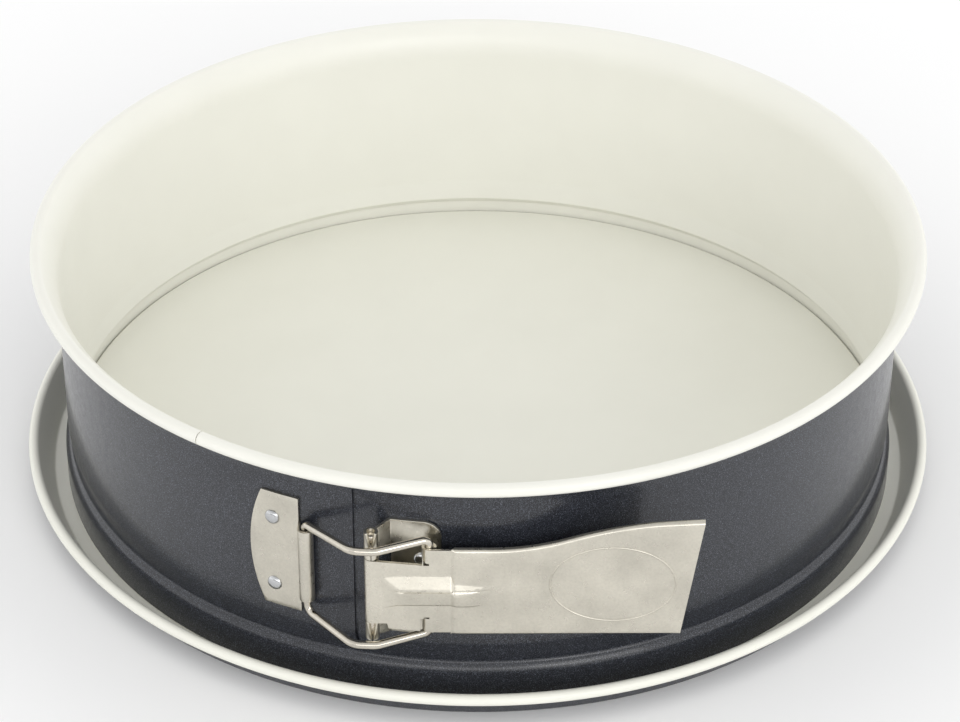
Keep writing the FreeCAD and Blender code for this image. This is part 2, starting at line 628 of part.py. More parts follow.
def lever_outline(reach, inset=""):
    """The outline of the lever's wide part from its upper left corner to its lower left one, moved
    inwards by inset and running on to the right by reach."""
    widen, narrow = ("", "") if not inset else (" + " + inset, " - " + inset)
    return (
        ("fold_start - %s" % reach, "tab_high" + narrow),
        ("curve_left", "tab_high" + narrow, "curve_low" + widen, -1),
        ("curve_middle", "curve_height" + narrow, "curve_high" + narrow, 1),
        ("curve_right", "paddle_high - curve_drop" + narrow),
        ("paddle_end + %s" % reach, "paddle_high" + narrow),
        ("paddle_foot + %s" % reach, "lever_low + edge_rise" + widen),
        ("fold_start - %s" % reach, "lever_low" + widen),
    )


def make_latch_lever():
    """The pressed lever: barrel, flat part with a rib and two sleeves for the bail's tips, and a wide
    part that stands out a little and has folded edges."""
    body = doc.addObject("PartDesign::Body", "LatchLever")
    tray = new_sketch(body, "LeverWide", "XZ_Plane", "lever_face + paddle_step - lever_depth")
    draw_outline(tray, lever_outline("0"))
    pad(body, "LeverWidePad", tray, "lever_depth")
    hollow = new_sketch(body, "LeverHollow", "XZ_Plane", "lever_face + paddle_step - strap")
    draw_outline(hollow, lever_outline("strap", "strap"))
    pocket(body, "LeverHollowCut", hollow, "lever_depth + strap")

    flat = new_sketch(body, "LeverFlat", "XZ_Plane", "lever_face - strap")
    draw_outline(flat, (
        ("sleeve_place", "lever_low"),
        ("sleeve_place", "sleeve_low + sleeve_slit"),
        ("notch_left", "sleeve_low + sleeve_slit"),
        ("notch_left", "lever_low + edge_rise"),
        ("neck_left", "lever_low + neck_rise"),
        ("neck_left", "barrel_low"),
        ("0", "barrel_low"),
        ("0", "barrel_high"),
        ("notch_left", "barrel_high - neck_drop"),
        ("sleeve_place", "barrel_high - neck_drop"),
        ("sleeve_place", "tab_high"),
        ("fold_start + fold_lap", "tab_high"),
        ("fold_start + fold_lap", "lever_low + edge_rise / 2"),
        ("fold_start", "lever_low"),
    ))
    pad(body, "LeverFlatPad", flat, "strap")

    rib = new_sketch(body, "LeverRib", "XZ_Plane", "lever_face - strap / 2")
    draw_outline(rib, (
        ("rib_left", "rib_high"),
        ("rib_left + rib_start", "rib_low"),
        ("rib_right", "rib_low"),
        ("rib_right", "rib_high - rib_fall"),
        ("rib_right - rib_taper", "rib_high"),
    ))
    pad(body, "LeverRibPad", rib, "rib_rise + strap / 2")

    tubes = (("Barrel", "0", "barrel_low", "barrel_high"),
             ("SleeveHigh", "sleeve_place", "sleeve_high", "tab_high"),
             ("SleeveLow", "sleeve_place", "lever_low", "sleeve_low"))
    for name, along, low, high in tubes:
        outside = new_sketch(body, "Lever" + name, "XY_Plane", low)
        draw_circle(outside, along, "0", "barrel_outer")
        pad(body, "Lever%sPad" % name, outside, "( %s ) - ( %s )" % (high, low))
        inside = new_sketch(body, "Lever%sBore" % name, "XY_Plane", high)
        draw_circle(inside, along, "0", "pin + running_fit")
        pocket(body, "Lever%sBoreCut" % name, inside, "( %s ) - ( %s )" % (high, low))
    turn = FreeCAD.Rotation(FreeCAD.Vector(0, 0, 1), LEVER_ANGLE)
    body.Placement = FreeCAD.Placement(on_latch(0, 0), turn)
    finish(body, "latch_lever")


def rounded_path(points, radii):
    """Return a wire of straight runs joined by tangent arcs, one radius for each inner point."""
    edges = []
    start = points[0]
    for before, corner, after, radius in zip(points, points[1:], points[2:], radii):
        inward = (before - corner).normalize()
        outward = (after - corner).normalize()
        half_turn = inward.getAngle(outward) / 2
        back = radius / math.tan(half_turn)
        bisector = (inward + outward).normalize()
        centre = corner + bisector * (radius / math.sin(half_turn))
        first, last = corner + inward * back, corner + outward * back
        edges.append(Part.LineSegment(start, first).toShape())
        edges.append(Part.Arc(first, centre - bisector * radius, last).toShape())
        start = last
    edges.append(Part.LineSegment(start, points[-1]).toShape())
    return Part.Wire(edges)


def make_bail_wire():
    """One bent wire: a bar in the keeper's knuckle and two arms that pass in front of the hinge and end
    over and under the lever's sleeves."""
    bearing = math.radians(-size["bar_bearing"])
    bar = FreeCAD.Vector(size["bar_radius"] * math.sin(bearing), -size["bar_radius"] * math.cos(bearing), 0)
    points = []
    for at_bar, at_hinge, at_end in (BAIL_HIGH, BAIL_LOW):
        arm = [bar + FreeCAD.Vector(0, 0, at_bar)]
        arm += [on_latch(along, out, at_hinge) for along, out in BAIL_HINGE]
        arm.append(on_latch(size["sleeve_place"], 0, at_end))
        points = arm[::-1] if not points else points + arm
    radii = [BAIL_CURVE, BAIL_CURVE, BAIL_BEND, BAIL_BEND, BAIL_CURVE, BAIL_CURVE]
    path = rounded_path(points, radii)
    circle = Part.Circle(points[0], points[1] - points[0], size["wire"])
    section = Part.Wire([circle.toShape()])
    bail = doc.addObject("Part::Feature", "BailWire")
    bail.Shape = path.makePipeShell([section], True, True)
    expected = math.pi * size["wire"] ** 2 * path.Length
    if abs(bail.Shape.Volume - expected) > 0.01 * expected:
        raise RuntimeError("the bail's volume is %.1f, not %.1f" % (bail.Shape.Volume, expected))
    finish(bail, "bail_wire")


# ---------- build, test and export ----------

keeper_bearing = -size["keeper_rivet"]
bracket_bearing = size["bracket_rivet"]
keeper_holes = rivet_holes("KeeperHoles", keeper_bearing, KEEPER_RIVET_HEIGHTS.values())
bracket_holes = rivet_holes("BracketHoles", bracket_bearing, BRACKET_RIVET_HEIGHTS.values())
make_base_plate()
make_ring_back()
make_ring_left(keeper_holes)
make_ring_right(bracket_holes)
make_keeper_plate(keeper_holes)
make_hinge_bracket(bracket_holes)
for label, height in KEEPER_RIVET_HEIGHTS.items():
    make_rivet(label, keeper_bearing, height)
for label, height in BRACKET_RIVET_HEIGHTS.items():
    make_rivet(label, bracket_bearing, height)
make_hinge_pin()
make_latch_lever()
make_bail_wire()
doc.recompute()

for item in doc.Objects:
    if "Invalid" in item.State or "Error" in item.State:
        raise RuntimeError("%s failed: %s" % (item.Label, item.State))
os.makedirs("parts", exist_ok=True)
for part in parts:
    shape = part.Shape
    if shape.isNull() or not shape.isValid() or len(shape.Solids) != 1:
        raise RuntimeError("%s is not one valid solid: %d" % (part.Label, len(shape.Solids)))
    shape.exportStep("parts/%s.step" % part.Label)
    print("%-22s %10.1f mm3" % (part.Label, shape.Volume))
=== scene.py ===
"""Springform pan: the visual model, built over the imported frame.

Lengths are millimetres until new_piece makes a mesh of them; the studio is laid out in metres.
"""
import math

import bmesh
import bpy
from mathutils import Matrix, Vector


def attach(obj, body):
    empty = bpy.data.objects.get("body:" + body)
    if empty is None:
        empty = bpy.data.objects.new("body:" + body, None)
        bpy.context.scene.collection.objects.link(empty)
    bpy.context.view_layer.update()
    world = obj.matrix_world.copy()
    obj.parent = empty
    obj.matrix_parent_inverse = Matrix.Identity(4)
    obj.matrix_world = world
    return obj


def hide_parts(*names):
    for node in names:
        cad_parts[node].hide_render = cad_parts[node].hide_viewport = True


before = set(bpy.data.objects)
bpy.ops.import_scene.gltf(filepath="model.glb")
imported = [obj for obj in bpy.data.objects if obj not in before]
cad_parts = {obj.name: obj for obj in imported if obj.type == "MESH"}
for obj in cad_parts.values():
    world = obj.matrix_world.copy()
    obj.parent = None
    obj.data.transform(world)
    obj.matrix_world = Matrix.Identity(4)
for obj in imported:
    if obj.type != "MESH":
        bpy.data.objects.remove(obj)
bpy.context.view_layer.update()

MM = 0.001

# Round the pan a place is given by its bearing: 0 at the front (-Y), positive towards +X.
SHEET = 0.6              # thickness of the ring
PLATE_SHEET = 0.8        # thickness of the base
STRAP = 0.8              # thickness of the keeper, bracket and lever
WALL = 130.0             # inner radius of the ring's wall
SEAT = 0.02              # gap between the wall and what is riveted to it
WIRE = 1.2               # radius of the bail's wire
PIN = 1.2                # radius of the hinge pin
PIN_PLACE = Vector((6.74, -137.33))
BAR_PLACE = Vector((-14.2485, -132.2346))
LEVER_ANGLE = math.radians(15.2)
EDGE = 0.12              # how much the sheet-metal pieces' edges are softened
SHARP = 60               # edges bent more than this stay sharp in sheet metal, in degrees
ROUND = 11.25            # step round a turned piece of the latch, in degrees


# ---------- outlines ----------

def arc(centre, radius, start, end, step=9.0):
    """Points on an arc from one angle to another, in degrees, ends included."""
    count = max(2, math.ceil(abs(end - start) / step))
    angles = [math.radians(start + (end - start) * i / count) for i in range(count + 1)]
    return [(centre[0] + radius * math.cos(a), centre[1] + radius * math.sin(a)) for a in angles]


def rounded(corners, step=9.0):
    """A run of points through (x, y, radius) corners, each rounded by its radius."""
    points = []
    for i, (x, y, radius) in enumerate(corners):
        here = Vector((x, y))
        if radius == 0 or i in (0, len(corners) - 1):
            points.append((x, y))
            continue
        back = (Vector(corners[i - 1][:2]) - here).normalized()
        ahead = (Vector(corners[i + 1][:2]) - here).normalized()
        half = back.angle(ahead) / 2
        centre = here + (back + ahead).normalized() * (radius / math.sin(half))
        first = here + back * (radius / math.tan(half)) - centre
        last = here + ahead * (radius / math.tan(half)) - centre
        turn = first.angle_signed(last)
        count = max(2, math.ceil(math.degrees(abs(turn)) / step))
        for k in range(count + 1):
            spoke = first.copy()
            spoke.rotate(Matrix.Rotation(-turn * k / count, 2))
            points.append(tuple(centre + spoke))
    return points


def spread(start, end, step):
    """Evenly spaced numbers from start to end, about a step apart."""
    count = max(1, round(abs(end - start) / step))
    return [start + (end - start) * i / count for i in range(count + 1)]


def joined(*spans):
    """The numbers of several (start, end, step) spans that follow each other."""
    numbers = [spans[0][0]]
    for span in spans:
        numbers += spread(*span)[1:]
    return numbers


def between(value, low, high):
    """How far value is from low to high, eased, from 0 to 1."""
    t = min(1.0, max(0.0, (value - low) / (high - low)))
    return t * t * (3 - 2 * t)


# ---------- meshes ----------

def at_bearing(bearing, radius, height):
    """The point at a bearing, in degrees."""
    angle = math.radians(bearing)
    return Vector((radius * math.sin(angle), -radius * math.cos(angle), height))


def on_latch(along, out, height):
    """The point that lies along the closed lever from its pin, and out from the pan."""
    c, s = math.cos(LEVER_ANGLE), math.sin(LEVER_ANGLE)
    return Vector((PIN_PLACE.x + along * c + out * s, PIN_PLACE.y + along * s - out * c, height))


def round_pin(reach, angle, height):
    """The point at a distance and an angle, in radians, from the hinge pin's axis."""
    return Vector((PIN_PLACE.x + reach * math.cos(angle), PIN_PLACE.y + reach * math.sin(angle), height))


def new_piece(name, bm, materials, body, replaced, sharp=40.0):
    """Turn a bmesh in millimetres into a smooth-shaded piece that rides on a body."""
    bmesh.ops.remove_doubles(bm, verts=bm.verts, dist=1e-4)
    bmesh.ops.dissolve_degenerate(bm, edges=bm.edges, dist=1e-4)
    bmesh.ops.recalc_face_normals(bm, faces=bm.faces)
    bmesh.ops.scale(bm, vec=(MM, MM, MM), verts=bm.verts)
    mesh = bpy.data.meshes.new(name)
    bm.to_mesh(mesh)
    bm.free()
    mesh.polygons.foreach_set("use_smooth", [True] * len(mesh.polygons))
    mesh.set_sharp_from_angle(angle=math.radians(sharp))
    piece = bpy.data.objects.new(name, mesh)
    bpy.context.scene.collection.objects.link(piece)
    for material in materials:
        mesh.materials.append(material)
    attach(piece, body)
    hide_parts(*replaced)
    return piece


def lathe(bm, runs, start, end, step, place, caps=0):
    """Turn a closed outline. runs is a list of (material index, points), and the outline follows them in
    order. place(angle, x, y) gives the point. A turn short of a full one gets end faces, whose material
    index is caps."""
    outline = [(zone, point) for zone, points in runs for point in points]
    full = abs(end - start) >= 360
    angles = spread(start, end, step)
    rings = [[bm.verts.new(place(angle, *point)) for zone, point in outline]
             for angle in (angles[:-1] if full else angles)]
    if full:
        rings.append(rings[0])
    count = len(outline)
    for here, after in zip(rings, rings[1:]):
        for i, (zone, point) in enumerate(outline):
            k = (i + 1) % count
            if (Vector(point) - Vector(outline[k][1])).length > 1e-5:
                bm.faces.new((here[i], here[k], after[k], after[i])).material_index = zone
    if not full:
        for ring in (rings[0], rings[-1]):
            bm.faces.new(ring).material_index = caps


# ---------- materials ----------

class Paint:
    """A node material in the making."""

    def __init__(self, name):
        self.material = bpy.data.materials.new(name)
        self.material.use_nodes = True
        self.nodes = self.material.node_tree.nodes
        self.links = self.material.node_tree.links
        self.shader = self.nodes["Principled BSDF"]
        self.place = self.nodes.new("ShaderNodeTexCoord").outputs["Object"]

    def set(self, **values):
        """Give the shader's inputs, named as its sockets are, constant values."""
        for name, value in values.items():
            self.shader.inputs[name.replace("_", " ").title().replace("Ior", "IOR")].default_value = value
        return self

    def noise(self, scale, detail=2.0, roughness=0.5, stretch=None):
        """Noise whose scale is counted per metre."""
        node = self.nodes.new("ShaderNodeTexNoise")
        node.inputs["Scale"].default_value = scale
        node.inputs["Detail"].default_value = detail
        node.inputs["Roughness"].default_value = roughness
        place = self.place
        if stretch:
            mapping = self.nodes.new("ShaderNodeMapping")
            mapping.inputs["Scale"].default_value = stretch
            self.links.new(self.place, mapping.inputs["Vector"])
            place = mapping.outputs["Vector"]
        self.links.new(place, node.inputs["Vector"])
        return node.outputs["Fac"]

    def ramp(self, source, stops):
        """A colour ramp of (position, grey or colour) stops."""
        node = self.nodes.new("ShaderNodeValToRGB")
        while len(node.color_ramp.elements) < len(stops):
            node.color_ramp.elements.new(0.5)
        for element, (position, colour) in zip(node.color_ramp.elements, stops):
            element.position = position
            element.color = (*(colour if isinstance(colour, tuple) else (colour,) * 3), 1.0)
        self.links.new(source, node.inputs["Fac"])
        return node.outputs["Color"]

    def mix(self, kind, amount, a, b):
        """Mix two colours. amount is a number or a socket."""
        node = self.nodes.new("ShaderNodeMix")
        node.data_type = "RGBA"
        node.blend_type = kind
        for name, value in (("Factor", amount), ("A", a), ("B", b)):
            entry = [i for i in node.inputs if i.name == name and i.enabled][0]
            if isinstance(value, bpy.types.NodeSocket):
                self.links.new(value, entry)
            else:
                entry.default_value = value
        return [o for o in node.outputs if o.enabled][0]

    def to(self, name, source):
        """Lead a texture into one of the shader's inputs."""
        self.links.new(source, self.shader.inputs[name])
        return self

    def bump(self, source, height, strength=1.0, under=None):
        """Raise the surface by source, up to a height in metres."""
        node = self.nodes.new("ShaderNodeBump")
        node.inputs["Strength"].default_value = strength
        node.inputs["Distance"].default_value = height
        self.links.new(source, node.inputs["Height"])
        if under:
            self.links.new(under, node.inputs["Normal"])
        self.links.new(node.outputs["Normal"], self.shader.inputs["Normal"])
        return node.outputs["Normal"]


def enamel(name, light, dark):
    """Satin ceramic coating: nearly even, with a faint mottle and orange peel."""
    paint = Paint(name)
    paint.set(specular_ior_level=0.5)
    paint.to("Base Color", paint.ramp(paint.noise(38, 3), [(0.35, dark), (0.65, light)]))
    paint.to("Roughness", paint.ramp(paint.noise(260, 4), [(0.3, 0.30), (0.7, 0.38)]))
    paint.bump(paint.noise(900, 2), 0.00004, 0.25)
    return paint.material


def flake_coat(name):
    """Dark metallic coating: fine flakes under a clear layer."""
    paint = Paint(name)
    paint.set(specular_ior_level=0.35, coat_weight=0.45, coat_roughness=0.12)
    grain = paint.noise(3700, 2, 0.75)
    flakes = paint.ramp(grain, [(0.36, (0.006, 0.007, 0.010)), (0.54, (0.018, 0.020, 0.027)),
                                (0.72, (0.17, 0.185, 0.225))])
    cloud = paint.ramp(paint.noise(60, 3), [(0.3, 0.86), (0.7, 1.0)])
    paint.to("Base Color", paint.mix("MULTIPLY", 1.0, flakes, cloud))
    paint.to("Roughness", paint.ramp(paint.noise(420, 3), [(0.3, 0.30), (0.7, 0.38)]))
    paint.bump(grain, 0.00002, 0.25)
    return paint.material


def nickel(name, tint, smooth, rough, grain_height, wave=0.0):
    """Nickel plate: a warm metal with a soft mottle, faint drawn lines and fine pits. wave is the height
    of the sheet's slow waviness, in metres."""
    paint = Paint(name)
    paint.set(metallic=1.0)
    shade = tuple(0.80 * c for c in tint)
    cloud = paint.ramp(paint.noise(70, 4, 0.55), [(0.3, shade), (0.7, tint)])
    speck = paint.ramp(paint.noise(1400, 2, 0.6), [(0.3, 0.93), (0.6, 1.0)])
    paint.to("Base Color", paint.mix("MULTIPLY", 1.0, cloud, speck))
    paint.to("Roughness", paint.ramp(paint.noise(500, 4), [(0.3, smooth), (0.7, rough)]))
    lines = paint.bump(paint.noise(500, 2, 0.5, (0.35, 0.35, 3.0)), grain_height, 0.3)
    pits = paint.bump(paint.noise(3200, 3, 0.6), grain_height * 0.5, 0.3, lines)
    if wave:
        paint.bump(paint.noise(110, 2, 0.4), wave, 1.0, pits)
    return paint.material


def pale_floor(name):
    """A plain pale floor, with a variation too faint to see as a pattern."""
    paint = Paint(name)
    paint.to("Base Color", paint.ramp(paint.noise(3, 2), [(0.3, 0.965), (0.7, 0.975)]))
    paint.set(roughness=0.9, specular_ior_level=0.1)
    return paint.material


def card(name):
    """A dark card whose reflection draws thin dark lines in the polished parts."""
    paint = Paint(name)
    paint.to("Base Color", paint.ramp(paint.noise(3, 2), [(0.3, 0.03), (0.7, 0.05)]))
    paint.set(roughness=0.9)
    return paint.material


CREAM_RING = enamel("ring_enamel", (0.825, 0.82, 0.755), (0.81, 0.805, 0.74))
CREAM_BASE = enamel("base_enamel", (0.845, 0.84, 0.76), (0.83, 0.825, 0.745))
DARK_RING = flake_coat("ring_flake_coat")
DARK_BASE = flake_coat("base_flake_coat")
PLATE = nickel("satin_nickel", (0.72, 0.685, 0.595), 0.26, 0.36, 0.00003, 0.00012)
BRIGHT_WIRE = nickel("polished_nickel_wire", (0.66, 0.62, 0.54), 0.05, 0.10, 0.00001)
PIN_METAL = nickel("polished_nickel_pin", (0.68, 0.63, 0.55), 0.14, 0.22, 0.00001)
RIVET = nickel("bright_rivet_steel", (0.62, 0.63, 0.64), 0.12, 0.20, 0.00002)


# ---------- camera, light and floor ----------

def make_camera():
    """The main view: from the front, a little to the right of the joint in the ring, about 34 degrees above.
    Lengths are millimetres, and the camera's aim is given from the middle of the latch's height."""
    azimuth, elevation, roll = math.radians(15.2), math.radians(33.891), math.radians(0.2)
    target, distance, aim_right, aim_up = 54.57, 988.26, -0.548, 20.115
    turn = Matrix.Rotation(azimuth, 3, "Z")
    ahead = turn @ Vector((0, math.cos(elevation), -math.sin(elevation)))
    side = turn @ Vector((1, 0, 0))
    rise = turn @ Vector((0, math.sin(elevation), math.cos(elevation)))
    right = math.cos(roll) * side + math.sin(roll) * rise
    up = -math.sin(roll) * side + math.cos(roll) * rise
    place = Vector((0, 0, target)) - ahead * distance - right * aim_right - up * aim_up
    data = bpy.data.cameras.new("view")
    data.sensor_width = 36.0
    data.lens = 117.93
    data.clip_end = 20.0
    camera = bpy.data.objects.new("view", data)
    rotation = Matrix((right, up, -ahead)).transposed().to_4x4()
    camera.matrix_world = Matrix.Translation(place * MM) @ rotation
    bpy.context.scene.collection.objects.link(camera)
    bpy.context.scene.camera = camera


def soft_box(name, place, target, size, power):
    """A large rectangular lamp, in metres and watts."""
    data = bpy.data.lights.new(name, "AREA")
    data.shape = "RECTANGLE"
    data.size, data.size_y = size
    data.energy = power
    lamp = bpy.data.objects.new(name, data)
    lamp.location = place
    lamp.rotation_mode = "QUATERNION"
    lamp.rotation_quaternion = (Vector(target) - Vector(place)).to_track_quat("-Z", "Y")
    bpy.context.scene.collection.objects.link(lamp)


def flat_panel(name, corners, material):
    """A flat four-cornered piece of the studio, in metres."""
    bm = bmesh.new()
    bm.faces.new([bm.verts.new(corner) for corner in corners])
    mesh = bpy.data.meshes.new(name)
    bm.to_mesh(mesh)
    bm.free()
    mesh.materials.append(material)
    panel = bpy.data.objects.new(name, mesh)
    bpy.context.scene.collection.objects.link(panel)


def make_studio():
    """A pale world that is brighter towards the horizon, two soft lamps, a pale floor and a dark card."""
    world = bpy.data.worlds.new("studio")
    bpy.context.scene.world = world
    world.use_nodes = True
    nodes, links = world.node_tree.nodes, world.node_tree.links
    sky = nodes["Background"]
    sky.inputs["Strength"].default_value = 1.45
    height = nodes.new("ShaderNodeSeparateXYZ")
    fade = nodes.new("ShaderNodeValToRGB")
    fade.color_ramp.elements[0].color = (1.0, 1.0, 1.0, 1.0)
    fade.color_ramp.elements[1].color = (0.52, 0.52, 0.52, 1.0)
    links.new(nodes.new("ShaderNodeTexCoord").outputs["Generated"], height.inputs["Vector"])
    links.new(height.outputs["Z"], fade.inputs["Fac"])
    links.new(fade.outputs["Color"], sky.inputs["Color"])
    soft_box("key", (1.9, -2.0, 1.3), (0, 0, 0.04), (1.4, 1.2), 11)
    soft_box("strip", (0.85, -3.1, 1.35), (0, 0, 0.04), (3.4, 0.8), 13)
    reach, side, distance, top = 6.0, 3.5, 5.0, 0.6
    flat_panel("floor", [(-reach, -reach, 0), (reach, -reach, 0), (reach, reach, 0), (-reach, reach, 0)],
               pale_floor("pale_floor"))
    flat_panel("dark_card", [(-side, -distance, 0), (side, -distance, 0), (side, -distance, top),
                             (-side, -distance, top)], card("dark_card"))
    bpy.context.scene.view_settings.view_transform = "Standard"


# ---------- base ----------

PLATE_TOP, PLATE_EDGE = 7.5, 130.9     # height and radius of the base's raised middle
PLATE_RINGS = (0, 30, 60, 90, 115, 127)
LIP_PLACE, LIP = (141.9, 9.3), 1.7     # centre and outer radius of the rolled lip's section
LIP_SLOPE = 65.0                       # slope of the wall that carries the lip, in degrees
COAT_END = -58                         # where the light coating ends on the roll, in degrees


def make_base():
    """The pressed base: raised middle, channel and rolled lip. The light coating goes over the lip."""
    slope = math.radians(LIP_SLOPE)
    sine, cosine = math.sin(slope), math.cos(slope)
    touch = arc(LIP_PLACE, LIP, 90 + LIP_SLOPE, 90 + LIP_SLOPE, 1)[0]
    corner = touch[0] - (touch[1] - PLATE_SHEET) / math.tan(slope)
    inner_curl = LIP - PLATE_SHEET
    half_chord = math.sqrt(LIP ** 2 - inner_curl ** 2)
    under = (LIP_PLACE[0] - inner_curl * sine - half_chord * cosine,
             LIP_PLACE[1] + inner_curl * cosine - half_chord * sine)
    under_corner = under[0] - under[1] / math.tan(slope)
    curl_end = math.degrees(math.atan2(under[1] - LIP_PLACE[1], under[0] - LIP_PLACE[0]))
    top = [(radius, PLATE_TOP) for radius in PLATE_RINGS]
    top += rounded([(PLATE_RINGS[-1], PLATE_TOP, 0), (PLATE_EDGE, PLATE_TOP, 1.2),
                    (PLATE_EDGE, PLATE_SHEET, 0.5), (corner, PLATE_SHEET, 0.9), (*touch, 0)])[1:]
    over_lip = arc(LIP_PLACE, LIP, 90 + LIP_SLOPE, COAT_END)[1:]
    under_lip = arc(LIP_PLACE, LIP, COAT_END, curl_end)[:-1]
    inner_edge, inner_top = PLATE_EDGE - PLATE_SHEET, PLATE_TOP - PLATE_SHEET
    below = rounded([(*under, 0), (under_corner, 0, 0.9 + PLATE_SHEET), (inner_edge, 0, 0.5 + PLATE_SHEET),
                     (inner_edge, inner_top, 0.4), (PLATE_RINGS[-1], inner_top, 0)])[1:]
    below += [(radius, inner_top) for radius in reversed(PLATE_RINGS[:-1])]
    bm = bmesh.new()
    lathe(bm, [(0, top + over_lip), (1, under_lip + [under] + below)], 0, 360, 1.0, at_bearing)
    new_piece("base_plate_coated", bm, (CREAM_BASE, DARK_BASE), "base", ["base_plate"])


# ---------- ring ----------

WALL_LOW, WALL_HIGH = 20.3, 69.1       # ends of the straight wall
RIM_PLACE, RIM = (136.1, 79.0), 2.0    # centre and outer radius of the rolled rim's section
FLARE = 16.0                           # radius of the flare below the rim, inside
FLARE_PLACE = (WALL + FLARE, WALL_HIGH)
FLARE_TOP, FLARE_TOP_OUT = 135, 140.6  # where the flare meets the roll, inside and outside, in degrees
CREASE, FOOT = (129.1, 13.26), (131.25, 11.11)     # corners of the crease and of the foot, inside
OUTER_RISE = 0.24                      # how much higher those corners lie outside
FOOT_LOW = 1.1                         # height of the foot's edge
FINE, ROLL_STEP = 4, 8                 # steps round the flare and the roll, in degrees
LAP_TOP = 75.6                         # where the left end's flare is cut short under the lapping rim
LAP_END = -19.6                        # bearing of the lap's end
TONGUE_STEP = 0.75                     # how far the strip behind the joint is stepped in
TONGUE_LOW, TONGUE_HIGH = 14, 70
SEAM_LEFT, SEAM_RIGHT = -0.3, 0.15     # bearings of the joint's two ends in the wall
SEAM_SHIFT = 0.45                      # bearing of the joint in the foot
BACK_HALF = 5                          # half the back piece's width, in degrees


def ring_foot(inside):
    """The lower half of the ring's section, from the flare down on the inside, or up on the outside."""
    if inside:
        return rounded([(WALL, WALL_HIGH, 0), (WALL, WALL_LOW, 9), (*CREASE, 1.0), (*FOOT, 1.5),
                        (FOOT[0], FOOT_LOW, 0)], 6)
    foot, wall = FOOT[0] + SHEET, WALL + SHEET
    return rounded([(foot, FOOT_LOW, 0), (foot, FOOT[1] + OUTER_RISE, 5.0),
                    (CREASE[0] + SHEET, CREASE[1] + OUTER_RISE, 1.6), (wall, WALL_LOW, 9),
                    (wall, WALL_HIGH, 0)], 6)


def flare(radius, start, end):
    """Points on the flare, or on a curve round the same centre."""
    return arc(FLARE_PLACE, radius, start, end, FINE)


def rolled_rim():
    """The rim's roll, which is closed on itself."""
    return arc(RIM_PLACE, RIM, 181, 360 + FLARE_TOP, ROLL_STEP)


def ring_runs():
    """The ring's section: light coating inside and over the rolled rim, flake coating outside."""
    return [(0, flare(FLARE, FLARE_TOP, 180)[1:] + ring_foot(True)[1:]),
            (1, ring_foot(False) + flare(FLARE - SHEET, 180, FLARE_TOP_OUT)[1:]),
            (0, rolled_rim())]


def lap_runs():
    """The section of the left end under the lapping rim, where the flare is cut short."""
    cut_in, cut_out = (180 - math.degrees(math.asin((LAP_TOP - WALL_HIGH) / radius))
                       for radius in (FLARE, FLARE - SHEET))
    return [(0, flare(FLARE, cut_in, 180) + ring_foot(True)[1:]),
            (1, ring_foot(False) + flare(FLARE - SHEET, 180, cut_out)[1:])]


def rim_tongue_runs():
    """The right end's rim where it laps over the left end, with the strip stepped in behind the flare."""
    low, turn = 180 - 2, 180 - 25
    stepped = FLARE + TONGUE_STEP
    inside = flare(FLARE, FLARE_TOP, turn - 7)[1:] + flare(stepped, turn - 1, low)
    outside = flare(stepped - SHEET, low, turn) + flare(FLARE - SHEET, turn - 6, FLARE_TOP_OUT)
    return [(0, inside), (1, outside), (0, rolled_rim())]


def tongue_runs():
    """The flat tongue behind the joint, dark outside, with its foot stepped in over the crease."""
    inner = WALL - TONGUE_STEP
    outside = [(inner - 0.85, TONGUE_LOW), (inner - 0.25, TONGUE_LOW), (inner + SHEET, WALL_LOW),
               (inner + SHEET, TONGUE_HIGH)]
    return [(1, outside), (0, [(inner, TONGUE_HIGH), (inner, WALL_LOW)])]


def seam_place(wall_end, foot_end, reach=0.1):
    """A place() for a band whose end lies at one bearing in the wall and at another in the foot. It moves
    the end's last ring only, which lies within reach of wall_end."""
    def place(bearing, radius, height):
        if abs(bearing - wall_end) < reach:
            bearing = foot_end + (wall_end - foot_end) * between(height, 15.5, 20.0)
        return at_bearing(bearing, radius, height)
    return place


def make_ring():
    """The ring in the three pieces that ride on its bodies: the back and two arms."""
    coats = (CREAM_RING, DARK_RING)
    side = 180 - BACK_HALF
    bm = bmesh.new()
    lathe(bm, ring_runs(), side, 180 + BACK_HALF, 1.0, at_bearing)
    new_piece("ring_back_band", bm, coats, "ring", ["ring_back"])

    bm = bmesh.new()
    lap = LAP_END - 0.15
    lathe(bm, ring_runs(), -side, lap, 1.0, at_bearing)
    lathe(bm, lap_runs(), lap, SEAM_LEFT, 1.0, seam_place(SEAM_LEFT, SEAM_SHIFT), 1)
    new_piece("ring_left_band", bm, coats, "left_arm", ["ring_left"])

    bm = bmesh.new()
    lathe(bm, ring_runs(), SEAM_RIGHT, side, 1.0, seam_place(SEAM_RIGHT, SEAM_SHIFT + 0.03), 1)
    lathe(bm, rim_tongue_runs(), LAP_END, SEAM_RIGHT, 1.0, at_bearing)
    lathe(bm, tongue_runs(), -5, SEAM_RIGHT + 0.5, 1.0, at_bearing, 1)
    new_piece("ring_right_band", bm, coats, "right_arm", ["ring_right"])


# ---------- sheet-metal pieces ----------

def grid(bm, columns, rows, place, keep=None):
    """A surface over columns and rows of numbers. keep(column, row) says whether a cell between this
    column and row and the next ones is there."""
    verts = [[bm.verts.new(place(c, r)) for r in rows] for c in columns]
    for i in range(len(columns) - 1):
        for j in range(len(rows) - 1):
            if keep is None or keep((columns[i] + columns[i + 1]) / 2, (rows[j] + rows[j + 1]) / 2):
                bm.faces.new((verts[i][j], verts[i + 1][j], verts[i + 1][j + 1], verts[i][j + 1]))
    loose = [v for v in bm.verts if not v.link_faces]
    bmesh.ops.delete(bm, geom=loose, context="VERTS")


